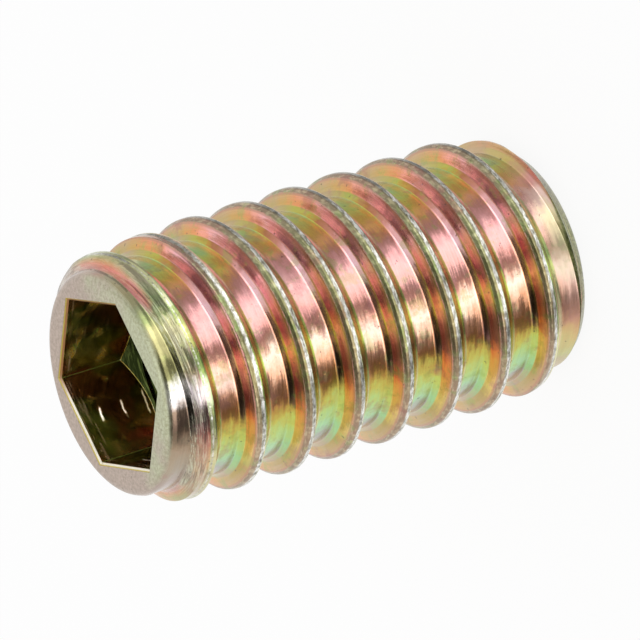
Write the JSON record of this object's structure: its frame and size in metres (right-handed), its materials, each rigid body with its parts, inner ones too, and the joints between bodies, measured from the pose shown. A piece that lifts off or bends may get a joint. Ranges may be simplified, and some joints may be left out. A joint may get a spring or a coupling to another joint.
{
  "type": "threaded insert",
  "caption": "Headless hex-drive threaded insert with a coarse outer thread for wood and a through bore for a machine bolt.",
  "frame": {"origin": "centre of the lead face, on the insert's axis, where it stands", "axes": "+Z along the axis from the lead face to the drive face; two corners of the hex socket lie on the X axis"},
  "size_m": [0.0132, 0.0132, 0.024],
  "materials": {
    "plated_steel": "yellow zinc plate with an iridescent chromate film, worn silver on the crests"
  },
  "bodies": {
    "root": {"insert_body": "plated_steel"}
  },
  "joints": []
}
